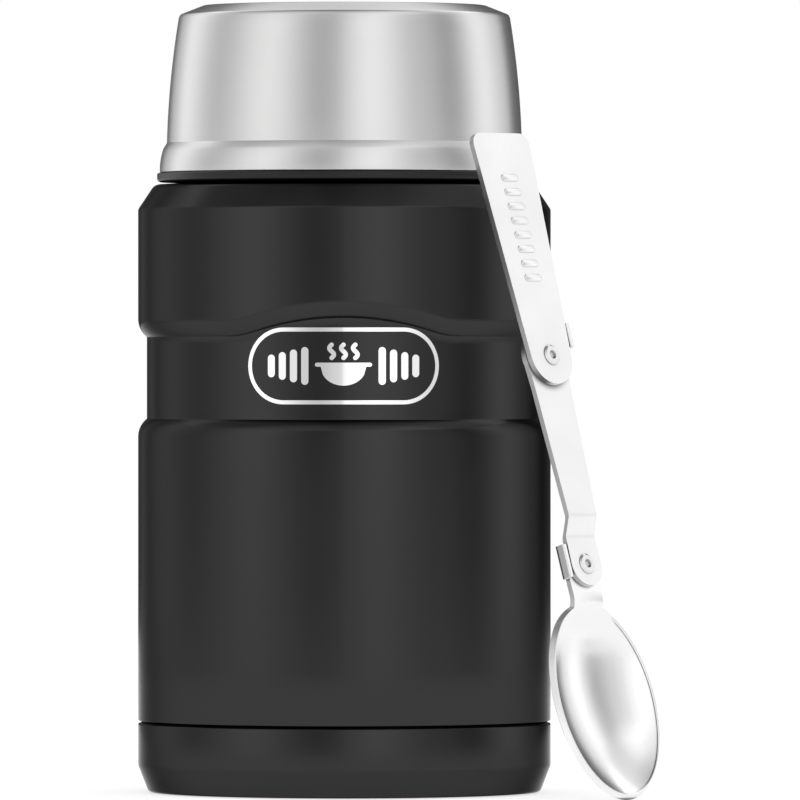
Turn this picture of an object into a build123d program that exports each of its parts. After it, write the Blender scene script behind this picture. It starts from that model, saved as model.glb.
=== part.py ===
from build123d import *

import os
from math import asin, atan2, cos, hypot, radians, sin, sqrt, tan

# Insulated food jar with a screw-on serving lid, a screw stopper and a folding spoon.
# Millimetres, +Z up. The origin is on the jar's axis, on the surface that it stands on.

os.makedirs("parts", exist_ok=True)

# ---------------------------------------------------------------- driving sizes
# Jar body, turned about Z
jar_radius = 49.5
waist_depth = 2.1               # recess of the waist
waist_bottom = 89.5             # lower crisp edge of the waist, above the foot
waist_height = 19.6             # up to its upper crisp edge, away from the brow
flare_height = 4.3              # height of the rounded lip above and below the waist
brow_half_width = 24.0          # the arched brow over the front of the waist
brow_rise = 4.4
brow_lip_ratio = 1.15           # radius of the lip over the brow, against that of the lip beside it
brow_stations = 9               # sections along the brow
shoulder_height = 139.7         # where the straight wall ends
shoulder_rise = 6.0
shoulder_run = 4.0
shoulder_low_round = 1.4
shoulder_top_round = 2.4
neck_root_round = 1.0
shell_wall = 0.6
# Base cup pressed over the bottom of the shell
cup_height = 16.5
cup_wall = 0.8
foot_chamfer_height = 6.4
foot_chamfer_run = 2.5
foot_round = 1.2
foot_groove_radius = 31.0
foot_groove_width = 3.0
foot_groove_depth = 0.4
seam_width = 0.6                # shadow line between cup and shell
# Bottom of the vacuum space
bottom_plate_height = 7.6
bottom_flange = 4.0
bottom_wall = 0.6
dimple_radius = 9.0
dimple_depth = 1.6
evacuation_hole_radius = 1.5
bead_radius = 3.6               # solder glass bead that seals the hole
bead_height = 1.1
getter_radius = 4.0
getter_thickness = 2.2
getter_chamfer = 0.44
getter_offset = 22.0
clip_width = 3.0
clip_wall = 0.4
# Food vessel
vacuum_gap = 4.4                # between the shell and the food vessel
liner_wall = 0.5
liner_bottom = 13.0
liner_corner = 9.0
throat_round = 4.5              # where the food vessel's shoulder meets its throat
liner_shoulder_drop = 8.7       # its shoulder below the shell's
liner_shoulder_rise = 11.25
# Neck and mouth
neck_height = 14.3              # mouth above the shoulder
neck_gap = 2.1                  # mouth's radius inside the neck's
lip_round_over = 0.22           # rounding of the mouth's rolled lip
# Stopper
plug_clearance = 0.6
plug_depth = 21.0
plug_wall = 1.6
flange_thickness = 2.4
flange_inset = 0.2              # inside the neck's outer face
grip_height = 4.2
grip_inset = 1.4                # grip ring inside the flange's edge
grip_ring_width = 4.2
grip_chamfer = 0.7
grip_scallops = 16
scallop_radius = 3.2
scallop_depth = 0.9
stopper_base_thickness = 1.6
stopper_base_round = 0.96
seal_thickness = 1.2
seal_width = 2.0
seal_lip = 0.4                  # lip of the flange outside the seal
seal_chamfer = 0.3
seal_fit = 0.02                 # clearance of the seal in its groove
seat_gap = 0.1                  # clearance under pieces that lift off
# Lid, which is also the serving bowl
rim_gap = 0.5                   # shadow gap between rim ring and shoulder
rim_height = 2.3
rim_inset = 0.55                # rim ring inside the shoulder's edge
rim_width = 4.35                # rim ring and thread sleeve together
rim_chamfer = 0.7
rim_edge = 0.25
lid_collar_inset = 0.65         # lid's lower edge inside the rim ring
lid_collar_height = 7.1
lid_collar_flare = 1.7          # below the fine line where the lid flares out
lid_step_fall = 1.36            # height of the slope under that line
lid_collar_belly = 2.55         # height of the collar's fullest bow under the slope
lid_side_height = 30.8
lid_side_taper = 3.2
lid_side_bulge = 0.65           # how far the side wall bows out
lid_bevel_run = 5.6
lid_bevel_drop = 2.2
lid_turn_drop = 0.88            # small turn between the bevel and the side wall
lid_turn_run = 0.37
lid_wall = 0.6
lid_top_space = 5.2             # between the lid's top and the bowl's ceiling
sleeve_rise = 4.4               # thread sleeve above the fine line
thread_room = 2.0               # radial room between neck and lid for the thread
bowl_lip = 0.4                  # overlap of the bowl's wall on the sleeve's top
bowl_wall = 0.5
bowl_corner = 9.0
bowl_taper = 0.8
core_inset = 4.5                # insulation disc inside the lid's flat top
core_chamfer = 0.4
core_gap = 0.2                  # running clearance round the loose insulation
# Folding spoon
sheet = 1.3
sheet_edge = 0.3                # rounding of the tabs' front edges
washer_thickness = 0.5
washer_overhang = 1.0           # past the rivet's head
lean = 17.5                     # degrees back from upright
facing = 47.5                   # degrees that the spoon's face turns from -Y towards +X
lean_gap = 0.45                 # between the handle's back and the jar
side_shift = 4.7                # upper rivet, to the right of the jar's nearest point
handle_length = 55.3            # upper rivet to the handle's end
handle_end_half_width = 9.9
handle_pivot_radius = 7.1
handle_corner = 3.0
link_length = 50.4              # between the two rivets
link_pivot_radius = 7.0
link_shoulder_half_width = 6.3
link_waist_half_width = 4.9
link_end_radius = 5.2
joggle_start = 39.0             # below the upper rivet
joggle_length = 4.6
joggle_depth = 2.35
joggle_round = 1.6
bowl_reach = 56.0               # lower rivet to the bowl's tip
bowl_half_length = 23.5
bowl_half_width = 16.9
bowl_depth = 6.9
bowl_drop = 1.6                 # rim of the bowl behind the face of its neck
neck_half_width = 5.0
neck_blend = 9.8                # length over which the neck turns into the bowl
rivet_radius = 1.6
rivet_head_radius = 2.45
rivet_head_height = 0.55
rivet_head_chamfer = 0.4
rivet_dimple_radius = 1.1
rivet_dimple_taper = 30         # degrees
rivet_clearance = 0.05
tab_clearance = 0.2
tab_round = 1.2
upper_tab = (2.1, 8.0)          # from and to, above the upper rivet
lower_tab = (-3.0, 5.0)         # from and to, above the lower rivet

# ---------------------------------------------------------------- sizes that follow
waist_radius = jar_radius - waist_depth
waist_top = waist_bottom + waist_height
shoulder_top = shoulder_height + shoulder_rise
shoulder_radius = jar_radius - shoulder_run
tuck_radius = jar_radius - cup_wall - rivet_clearance
shell_bottom = bottom_plate_height - bottom_wall
liner_radius = jar_radius - shell_wall - vacuum_gap
liner_shoulder_height = shoulder_height - liner_shoulder_drop

rim_bottom = shoulder_top + rim_gap
rim_radius = shoulder_radius - rim_inset
collar_inner = rim_radius - rim_width
lid_lower_edge = rim_bottom + rim_height
lid_collar_radius = rim_radius - lid_collar_inset
lid_step_height = lid_lower_edge + lid_collar_height
lid_side_radius = lid_collar_radius - lid_collar_flare
lid_bevel_radius = lid_side_radius - lid_side_taper
lid_top_radius = lid_bevel_radius - lid_bevel_run
lid_height = lid_step_height + lid_side_height + lid_bevel_drop
rim_wall_top = lid_step_height + sleeve_rise
bowl_ceiling = lid_height - lid_top_space

neck_radius = collar_inner - thread_room
mouth_radius = neck_radius - neck_gap
mouth_height = shoulder_top + neck_height
lip_height = mouth_height - liner_wall
plug_radius = mouth_radius - plug_clearance
flange_radius = neck_radius - flange_inset
grip_radius = flange_radius - grip_inset
spoon_turn = radians(facing)
spoon_lean = radians(lean)
past_axis = 6.0                 # outlines run past the axis, and are trimmed there


def trim_past_axis():
    """Remove what lies on the far side of the axis from a half section."""
    with Locations((-past_axis, lid_height / 2)):
        Rectangle(2 * past_axis, 2 * lid_height, mode=Mode.SUBTRACT)


def turned_form(draw_outline, inset=0.0):
    """Solid of revolution inside an outline that is moved inwards by inset."""
    with BuildPart() as form:
        with BuildSketch(Plane.XZ):
            with BuildLine():
                draw_outline()
            make_face()
            if inset:
                offset(amount=-inset, kind=Kind.INTERSECTION)
            trim_past_axis()
        revolve(axis=Axis.Z)
    return form.part


def ring(inner, outer, low, high):
    """Half section of a plain ring, for use inside a sketch on the XZ plane."""
    with Locations(((inner + outer) / 2, (low + high) / 2)):
        Rectangle(outer - inner, high - low)


# ---------------------------------------------------------------- outer shell
lip_round = (flare_height**2 + (jar_radius - waist_radius) ** 2) / (2 * (jar_radius - waist_radius))


def shell_outline():
    """Outer face of the shell, from the tucked bottom to the top of the neck."""
    tuck = Polyline(
        (-past_axis, shell_bottom),
        (tuck_radius, shell_bottom),
        (tuck_radius, cup_height),
        (jar_radius, cup_height + seam_width),
        (jar_radius, waist_bottom - flare_height),
    )
    low_lip = RadiusArc(tuck @ 1, (waist_radius, waist_bottom), lip_round)
    waist = Line(low_lip @ 1, (waist_radius, waist_top))
    high_lip = RadiusArc(waist @ 1, (jar_radius, waist_top + flare_height), lip_round)
    FilletPolyline(
        high_lip @ 1,
        (jar_radius, shoulder_height),
        (shoulder_radius, shoulder_top),
        (neck_radius, shoulder_top),
        (neck_radius, lip_height),
        (-past_axis, lip_height),
        (-past_axis, shell_bottom),
        radius=[shoulder_low_round, shoulder_top_round, neck_root_round, 0, 0],
    )


def brow_cutter(inset):
    """What the arched brow takes away above the waist. Its lip follows the arch."""
    arch_radius = (brow_half_width**2 + brow_rise**2) / (2 * brow_rise)
    overrun = brow_half_width + brow_rise
    brow_lip_round = brow_lip_ratio * lip_round
    half_chord = hypot(flare_height, waist_depth) / 2
    sagitta = sqrt(brow_lip_round**2 - half_chord**2) / (2 * half_chord)
    lip_centre = (waist_depth / 2 - sagitta * flare_height, flare_height / 2 + sagitta * waist_depth)

    def on_lip(out):
        """Point of the lip so far out from the waist, measured from the crisp edge."""
        return out, lip_centre[1] - sqrt((brow_lip_round - inset) ** 2 - (out - lip_centre[0]) ** 2)

    inner, outer, low = -waist_depth, waist_depth - inset, -brow_rise - waist_depth
    with BuildPart() as cutter:
        for station in range(brow_stations):
            across = overrun * (2 * station / (brow_stations - 1) - 1)
            edge = waist_top + brow_rise - arch_radius + sqrt(arch_radius**2 - across**2)
            turn = asin(across / waist_radius)
            outwards = Vector(sin(turn), -cos(turn), 0)
            crisp_edge = outwards * waist_radius + Vector(0, 0, edge)
            with BuildSketch(Plane(origin=crisp_edge, x_dir=outwards, z_dir=outwards.cross(Vector(0, 0, 1)))):
                with BuildLine():
                    lip = ThreePointArc(on_lip(inner), on_lip((inner + outer) / 2), on_lip(outer))
                    Polyline(lip @ 1, (2 * waist_depth, on_lip(outer)[1]), (2 * waist_depth, low), (inner, low), lip @ 0)
                make_face()
        loft()
        with Locations((0, 0, waist_top)):
            Cylinder(waist_radius - inset, 8 * (flare_height + brow_rise), mode=Mode.SUBTRACT)
    return cutter.part


with BuildPart() as shell_cavity:
    add(turned_form(shell_outline, shell_wall))
    add(brow_cutter(shell_wall), mode=Mode.SUBTRACT)
    with BuildSketch(Plane.XZ):
        ring(0, tuck_radius - shell_wall, shell_bottom - 1, cup_height)
        ring(0, neck_radius - shell_wall, shoulder_top - 1, mouth_height + 1)
    revolve(axis=Axis.Z)

with BuildPart() as outer_shell:
    add(turned_form(shell_outline))
    add(brow_cutter(0), mode=Mode.SUBTRACT)
    add(shell_cavity.part, mode=Mode.SUBTRACT)


# ---------------------------------------------------------------- base cup
def cup_outline():
    """Outer face of the base cup."""
    FilletPolyline(
        (-past_axis, 0),
        (jar_radius - foot_chamfer_run, 0),
        (jar_radius, foot_chamfer_height),
        (jar_radius, cup_height),
        (-past_axis, cup_height),
        radius=[0, foot_round, 2 * foot_round, 0, 0],
        close=True,
    )


with BuildPart() as base_cup:
    add(turned_form(cup_outline))
    add(turned_form(cup_outline, cup_wall), mode=Mode.SUBTRACT)
    with Locations((0, 0, cup_height)):
        Cylinder(jar_radius - cup_wall, 4 * cup_wall, mode=Mode.SUBTRACT)
    with BuildSketch(Plane.XZ):
        ring(foot_groove_radius, foot_groove_radius + foot_groove_width, -1, foot_groove_depth)
    revolve(axis=Axis.Z, mode=Mode.SUBTRACT)

# ---------------------------------------------------------------- bottom of the vacuum space
plate_low = bottom_plate_height - bottom_wall
dimple_top = plate_low + dimple_depth

with BuildPart() as outer_bottom:
    with BuildSketch(Plane.XZ):
        ring(0, tuck_radius - shell_wall, plate_low, bottom_plate_height)
        ring(
            tuck_radius - shell_wall - bottom_wall,
            tuck_radius - shell_wall,
            plate_low,
            bottom_plate_height + bottom_flange,
        )
        ring(0, dimple_radius + bottom_wall, plate_low, dimple_top + bottom_wall)
    revolve(axis=Axis.Z)
    with BuildSketch(Plane.XY.offset(plate_low)):
        Circle(dimple_radius)
    extrude(amount=dimple_depth, mode=Mode.SUBTRACT)
    Cylinder(evacuation_hole_radius, 2 * bottom_plate_height + 4 * dimple_depth, mode=Mode.SUBTRACT)

with BuildPart() as vacuum_plug:
    with BuildSketch(Plane.XY.offset(dimple_top)):
        Circle(evacuation_hole_radius)
    extrude(amount=bottom_wall)
    with BuildSketch(Plane.XZ):
        with Locations((0, dimple_top)):
            Ellipse(bead_radius, bead_height)
            Rectangle(2 * bead_radius, 2 * bead_height, align=(Align.MAX, Align.CENTER), mode=Mode.SUBTRACT)
            Rectangle(2 * bead_radius, 2 * bead_height, align=(Align.CENTER, Align.MIN), mode=Mode.SUBTRACT)
    revolve(axis=Axis.Z)

with BuildPart() as getter:
    with BuildSketch(Plane.XY.offset(bottom_plate_height)):
        with Locations((getter_offset, 0)):
            Circle(getter_radius)
    extrude(amount=getter_thickness)
    chamfer(getter.faces().sort_by(Axis.Z)[-1].edges(), getter_chamfer)

with BuildPart() as getter_clip:
    with BuildSketch(Plane.XZ.offset(-clip_width / 2)):
        with Locations((getter_offset, bottom_plate_height)):
            Rectangle(
                2 * (getter_radius + clip_wall),
                getter_thickness + clip_wall,
                align=(Align.CENTER, Align.MIN),
            )
            Rectangle(
                2 * getter_radius,
                getter_thickness,
                align=(Align.CENTER, Align.MIN),
                mode=Mode.SUBTRACT,
            )
            for side in (-1, 1):
                with Locations((side * (getter_radius + clip_width / 2), 0)):
                    Rectangle(clip_width, clip_wall, align=(Align.CENTER, Align.MIN))
    extrude(amount=clip_width)


# ---------------------------------------------------------------- food vessel
def liner_outline():
    """Vacuum side of the food vessel."""
    throat = mouth_radius + liner_wall
    FilletPolyline(
        (-past_axis, liner_bottom),
        (liner_radius, liner_bottom),
        (liner_radius, liner_shoulder_height),
        (throat, liner_shoulder_height + liner_shoulder_rise),
        (throat, mouth_height),
        (-past_axis, mouth_height),
        radius=[0, liner_corner, liner_corner, throat_round, 0, 0],
        close=True,
    )


with BuildPart() as inner_liner:
    add(turned_form(liner_outline))
    add(turned_form(liner_outline, liner_wall), mode=Mode.SUBTRACT)
    with BuildSketch(Plane.XZ):
        ring(mouth_radius, neck_radius, lip_height, mouth_height)
    revolve(axis=Axis.Z)
    with Locations((0, 0, mouth_height)):
        Cylinder(mouth_radius, 4 * liner_wall, mode=Mode.SUBTRACT)
    chamfer(inner_liner.edges().group_by(Axis.Z)[-1], lip_round_over)

# ---------------------------------------------------------------- stopper
seal_bottom = mouth_height + seat_gap
flange_bottom = seal_bottom + seal_thickness / 2
flange_top = flange_bottom + flange_thickness
grip_top = flange_top + grip_height
plug_bottom = mouth_height - plug_depth
seal_outer = flange_radius - seal_lip
dish_radius = grip_radius - grip_ring_width

with BuildPart() as stopper_body:
    with BuildSketch(Plane.XZ):
        ring(0, flange_radius, flange_bottom, flange_top)
        ring(dish_radius, grip_radius, flange_bottom, grip_top)
        ring(plug_radius - plug_wall, plug_radius, plug_bottom, flange_top)
    revolve(axis=Axis.Z)
    with BuildSketch(Plane.XZ):
        ring(seal_outer - seal_width, seal_outer, seal_bottom, seal_bottom + seal_thickness)
    revolve(axis=Axis.Z, mode=Mode.SUBTRACT)
    with BuildSketch(Plane.XY.offset(flange_top)):
        with PolarLocations(grip_radius + scallop_radius - scallop_depth, grip_scallops):
            Circle(scallop_radius)
    extrude(amount=grip_height, mode=Mode.SUBTRACT)
    chamfer(stopper_body.faces().sort_by(Axis.Z)[-1].inner_wires().edges(), grip_chamfer)

with BuildPart() as stopper_seal:
    with BuildSketch(Plane.XZ) as stopper_seal_section:
        ring(seal_outer - seal_width + seal_fit, seal_outer - seal_fit, seal_bottom, seal_bottom + seal_thickness)
        chamfer(stopper_seal_section.vertices(), seal_chamfer)
    revolve(axis=Axis.Z)

with BuildPart() as stopper_base:
    with BuildSketch(Plane.XZ):
        ring(0, plug_radius, plug_bottom - stopper_base_thickness, plug_bottom)
        ring(
            plug_radius - 2 * plug_wall - core_gap,
            plug_radius - plug_wall - core_gap / 2,
            plug_bottom,
            plug_bottom + 2 * plug_wall,
        )
    revolve(axis=Axis.Z)
    fillet(stopper_base.edges().group_by(Axis.Z)[0], stopper_base_round)

with BuildPart() as stopper_core:
    core_radius = plug_radius - 2 * plug_wall - 2 * core_gap
    with BuildSketch(Plane.XY.offset(plug_bottom + core_gap)):
        Circle(core_radius)
    extrude(amount=flange_bottom - plug_bottom - 2 * core_gap)
    chamfer(stopper_core.edges(), plug_wall / 2)


# ---------------------------------------------------------------- lid
def lid_outline():
    """Outer face of the lid: flat top, bevel, bowed side and flared collar."""
    top = Polyline(
        (-past_axis, lid_lower_edge),
        (-past_axis, lid_height),
        (lid_top_radius, lid_height),
        (lid_bevel_radius, lid_height - lid_bevel_drop),
        (lid_bevel_radius + lid_turn_run, lid_height - lid_bevel_drop - lid_turn_drop),
    )
    mid_radius = (lid_bevel_radius + lid_side_radius) / 2 + lid_side_bulge
    mid_height = (lid_height - lid_bevel_drop + lid_step_height) / 2
    side = ThreePointArc(top @ 1, (mid_radius, mid_height), (lid_side_radius, lid_step_height))
    collar_top = lid_step_height - lid_step_fall
    collar = ThreePointArc(
        ((lid_side_radius + lid_collar_radius) / 2, collar_top),
        (lid_collar_radius - lid_collar_flare / 8, collar_top - lid_collar_belly),
        (lid_collar_radius, lid_lower_edge + 2 * lid_wall),
    )
    Line(side @ 1, collar @ 0)
    Polyline(collar @ 1, (lid_collar_radius, lid_lower_edge), (-past_axis, lid_lower_edge))


with BuildPart() as lid_shell:
    add(turned_form(lid_outline))
    add(turned_form(lid_outline, lid_wall), mode=Mode.SUBTRACT)
    with Locations((0, 0, lid_lower_edge)):
        Cylinder(lid_collar_radius - lid_wall, 4 * lid_wall, mode=Mode.SUBTRACT)

bowl_inner = collar_inner - bowl_lip
bowl_rim_outer = lid_side_radius - lid_wall - core_gap
with BuildPart() as lid_bowl:
    with BuildSketch(Plane.XZ):
        with BuildLine():
            FilletPolyline(
                (-past_axis, rim_wall_top),
                (bowl_inner + bowl_wall, rim_wall_top),
                (bowl_inner + bowl_wall - bowl_taper, bowl_ceiling + bowl_wall),
                (-past_axis, bowl_ceiling + bowl_wall),
                radius=[0, 0, bowl_corner, 0],
                close=True,
            )
        make_face()
        trim_past_axis()
    revolve(axis=Axis.Z)
    offset(amount=-bowl_wall, openings=lid_bowl.faces().sort_by(Axis.Z)[0], mode=Mode.REPLACE)
    with BuildSketch(Plane.XZ):
        ring(bowl_inner, bowl_rim_outer, rim_wall_top, rim_wall_top + bowl_wall)
    revolve(axis=Axis.Z)

with BuildPart() as lid_collar:
    sleeve_outer = bowl_rim_outer - core_gap
    seat_radius = lid_collar_radius - lid_wall - core_gap
    seat_height = lid_lower_edge - core_gap / 2
    with BuildSketch(Plane.XZ):
        with BuildLine():
            Polyline(
                (collar_inner, rim_bottom + rim_edge),
                (collar_inner + rim_edge, rim_bottom),
                (rim_radius - rim_chamfer, rim_bottom),
                (rim_radius, rim_bottom + rim_chamfer),
                (rim_radius, seat_height - rim_edge),
                (rim_radius - rim_edge, seat_height),
                (seat_radius, seat_height),
                (seat_radius, lid_lower_edge + lid_collar_height / 3),
                (sleeve_outer, lid_step_height - core_gap),
                (sleeve_outer, rim_wall_top),
                (collar_inner, rim_wall_top),
                close=True,
            )
        make_face()
    revolve(axis=Axis.Z)

with BuildPart() as lid_core:
    with BuildSketch(Plane.XY.offset(bowl_ceiling + bowl_wall + core_gap)):
        Circle(lid_top_radius - core_inset)
    extrude(amount=lid_height - lid_wall - bowl_ceiling - bowl_wall - 2 * core_gap)
    chamfer(lid_core.edges(), core_chamfer)

# ---------------------------------------------------------------- folding spoon: where it stands
# v points right along the spoon's width, u up along its length, n out of its face.
spoon_v = Vector(cos(spoon_turn), sin(spoon_turn), 0)
spoon_n = Vector(sin(spoon_turn) * cos(spoon_lean), -cos(spoon_turn) * cos(spoon_lean), sin(spoon_lean))
spoon_u = spoon_n.cross(spoon_v)

handle_back = -sheet
link_front = handle_back - washer_thickness
link_back = link_front - sheet
link_low_front = link_front - joggle_depth
link_low_back = link_low_front - sheet
neck_front = link_low_back - washer_thickness
neck_back = neck_front - sheet
rim_depth = neck_front - bowl_drop

# The wall of the bowl leans at rim_slope at the tip, so its cut edge reaches further than its face.
bowl_curve = sqrt(2)            # 1 would be a full half ellipsoid, more is a shallower cap
cap_fall = 1 / (sqrt(bowl_curve**2 - 1) * (bowl_curve - sqrt(bowl_curve**2 - 1)))
rim_slope = bowl_depth * cap_fall / bowl_half_length
edge_out = sheet * rim_slope / hypot(1, rim_slope)
edge_back = sheet / hypot(1, rim_slope)
tip_reach = link_length + bowl_reach + edge_out
pivot_height = tip_reach * spoon_u.Z - (rim_depth - edge_back) * spoon_n.Z
# The handle leans on whatever of the jar's shoulder and the lid it meets first.
handle_top = pivot_height + handle_length * spoon_u.Z
face_reach = lean_gap + sheet + max(
    radius * cos(spoon_lean) + min(height, handle_top) * sin(spoon_lean)
    for radius, height in (
        (jar_radius, shoulder_height),
        (lid_collar_radius, lid_step_height),
        (lid_side_radius, lid_height),
    )
)
# The pivot lies on the plane of the handle's face, side_shift to the right.
pivot_out = (face_reach - pivot_height * spoon_n.Z) / cos(spoon_lean)
spoon_origin = Vector(
    pivot_out * sin(spoon_turn) + side_shift * spoon_v.X,
    -pivot_out * cos(spoon_turn) + side_shift * spoon_v.Y,
    pivot_height,
)
spoon_face = Plane(origin=spoon_origin, x_dir=spoon_v, z_dir=spoon_n)
spoon_side = Plane(origin=spoon_origin, x_dir=spoon_u, z_dir=spoon_v)


def across(height):
    """Plane across the spoon at a height above the upper rivet, seen from above."""
    return Plane(origin=spoon_origin + spoon_u * height, x_dir=spoon_v, z_dir=-spoon_u)


def rivet_holes(at_height):
    """Clearance hole through the whole spoon at a height above the upper rivet."""
    with BuildSketch(spoon_face) as hole:
        with Locations((0, at_height)):
            Circle(rivet_radius + rivet_clearance)
    extrude(hole.sketch, amount=4 * bowl_depth, both=True, mode=Mode.SUBTRACT)


def tab(side, inner, plate_back, front, low, high):
    """Tab bent forward from a plate's edge, on the right (side 1) or the left (side -1)."""
    outer = inner + sheet
    with BuildSketch(across(high)) as section:
        with BuildLine():
            FilletPolyline(
                (side * (inner - 2 * sheet), plate_back),
                (side * outer, plate_back),
                (side * outer, front),
                (side * inner, front),
                (side * inner, plate_back + sheet),
                (side * (inner - 2 * sheet), plate_back + sheet),
                radius=[0, tab_round, sheet_edge, sheet_edge, 0, 0],
                close=True,
            )
        make_face()
    extrude(section.sketch, amount=high - low)


# ---------------------------------------------------------------- spoon handle
corner_x = handle_end_half_width - handle_corner
corner_y = handle_length - handle_corner
# Angle between the handle's straight edge and its middle line
handle_taper = atan2(corner_x, corner_y) - asin((handle_pivot_radius - handle_corner) / hypot(corner_x, corner_y))


def handle_half_width(above):
    """Half width of the handle's straight part, so far above its rivet."""
    return handle_pivot_radius / cos(handle_taper) + above * tan(handle_taper)


with BuildPart() as spoon_handle:
    with BuildSketch(spoon_face):
        Circle(handle_pivot_radius)
        with Locations((-corner_x, corner_y), (corner_x, corner_y)):
            Circle(handle_corner)
        make_hull()
    extrude(amount=-sheet)
    rivet_holes(0)

# ---------------------------------------------------------------- spoon link
joggle_end = joggle_start + joggle_length
link_top = upper_tab[1]

with BuildPart() as spoon_link:
    with BuildSketch(spoon_side):
        with BuildLine():
            FilletPolyline(
                (link_top, link_front),
                (-joggle_start, link_front),
                (-joggle_end, link_low_front),
                (-link_length - link_end_radius, link_low_front),
                (-link_length - link_end_radius, link_low_back),
                (-joggle_end - sheet / 4, link_low_back),
                (-joggle_start - sheet / 4, link_back),
                (link_top, link_back),
                radius=[0, joggle_round + sheet, joggle_round, 0, 0, joggle_round + sheet, joggle_round, 0],
                close=True,
            )
        make_face()
    extrude(amount=2 * link_pivot_radius, both=True)
    with BuildSketch(spoon_face):
        Circle(link_pivot_radius)
        with BuildLine():
            half = [
                (link_pivot_radius - rivet_clearance, 0),
                (link_shoulder_half_width, -link_pivot_radius),
                (link_waist_half_width, -joggle_start),
                (link_end_radius, -link_length),
            ]
            Polyline(*half, *[(-x, y) for x, y in reversed(half)], close=True)
        make_face()
        with Locations((0, -link_length)):
            Circle(link_end_radius)
    extrude(amount=4 * bowl_depth, both=True, mode=Mode.INTERSECT)
    tab(1, handle_half_width(upper_tab[1]) + tab_clearance, link_back, 0, *upper_tab)
    rivet_holes(0)
    rivet_holes(-link_length)


# ---------------------------------------------------------------- spoon bowl
def smooth_step(value):
    """0 below 0, 1 above 1, and a smooth rise between."""
    value = min(1.0, max(0.0, value))
    return value * value * (3 - 2 * value)


bowl_centre = bowl_reach - bowl_half_length


def bowl_face_depth(x, below):
    """Depth of the sheet's face at x across and so far below the lower rivet."""
    reach = hypot(x / bowl_half_width, (below - bowl_centre) / bowl_half_length)
    flat_cap = sqrt(bowl_curve**2 - 1)
    if reach < 1:
        cap = (sqrt(bowl_curve**2 - reach**2) - flat_cap) / (bowl_curve - flat_cap)
    else:
        cap = -cap_fall * (reach - 1)
    dish = -bowl_drop - bowl_depth * cap
    return neck_front + dish * smooth_step((below - link_end_radius) / neck_blend)


# The surface is drawn on a grid that runs past the blank's outline.
grid_across, grid_along = 13, 25
grid_margin = 3.0
sheet_half_width = bowl_half_width + grid_margin
sheet_top = -link_end_radius - grid_margin
sheet_bottom = bowl_reach + grid_margin
grid = [
    [
        (x, -link_length - below, bowl_face_depth(x, below))
        for x in [sheet_half_width * (2 * i / (grid_across - 1) - 1) for i in range(grid_across)]
    ]
    for below in [sheet_top + (sheet_bottom - sheet_top) * j / (grid_along - 1) for j in range(grid_along)]
]
bowl_sheet = spoon_face.location * Face.make_surface_from_array_of_points(grid)

with BuildPart() as bowl_blank:
    with BuildSketch(spoon_face):
        with Locations((0, -link_length)):
            Circle(neck_half_width)
        with Locations((0, -link_length - bowl_centre)):
            Ellipse(bowl_half_width, bowl_half_length)
        with Locations((0, -link_length)):
            Rectangle(2 * neck_half_width, bowl_centre, align=(Align.CENTER, Align.MAX))
    extrude(amount=4 * bowl_depth, both=True)

with BuildPart() as spoon_bowl:
    thicken(bowl_sheet & bowl_blank.part, sheet, normal_override=-spoon_n)
    tab(
        -1,
        link_end_radius + tab_clearance,
        neck_back,
        link_low_front,
        lower_tab[0] - link_length,
        lower_tab[1] - link_length,
    )
    rivet_holes(-link_length)


# ---------------------------------------------------------------- rivets and washers
def rivet(at_height, front, back):
    """Rivet with a dimpled head in front and a plain head behind."""
    head_face = front + rivet_clearance
    tail_face = back - rivet_clearance
    with BuildPart() as made:
        with BuildSketch(spoon_face.offset(tail_face)):
            with Locations((0, at_height)):
                Circle(rivet_radius)
        extrude(amount=head_face - tail_face)
        with BuildSketch(spoon_face.offset(head_face)):
            with Locations((0, at_height)):
                Circle(rivet_head_radius)
        extrude(amount=rivet_head_height)
        with BuildSketch(spoon_face.offset(tail_face)):
            with Locations((0, at_height)):
                Circle(rivet_head_radius)
        extrude(amount=-rivet_head_height)
        rounded = made.edges().filter_by(GeomType.CIRCLE).filter_by(
            lambda edge: edge.radius == rivet_head_radius
        )
        ends = rounded.sort_by(Axis(spoon_origin, spoon_n))
        chamfer([ends[0], ends[-1]], rivet_head_chamfer)
        with BuildSketch(spoon_face.offset(head_face + rivet_head_height)):
            with Locations((0, at_height)):
                Circle(rivet_dimple_radius)
        extrude(amount=-rivet_head_height, taper=rivet_dimple_taper, mode=Mode.SUBTRACT)
    return made.part


def washer(at_height, front, back):
    """Spacer washer between two plates, seated on the rear one."""
    with BuildPart() as made:
        with BuildSketch(spoon_face.offset(back)):
            with Locations((0, at_height)):
                Circle(rivet_head_radius + washer_overhang)
                Circle(rivet_radius + rivet_clearance, mode=Mode.SUBTRACT)
        extrude(amount=front - back)
    return made.part


with BuildPart() as upper_rivet:
    add(rivet(0, 0, link_back + rivet_clearance))

with BuildPart() as lower_rivet:
    add(rivet(-link_length, link_low_front - rivet_clearance, neck_back))

with BuildPart() as upper_washer:
    add(washer(0, handle_back - rivet_clearance, link_front))

with BuildPart() as lower_washer:
    add(washer(-link_length, link_low_back, neck_front + rivet_clearance))

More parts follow.
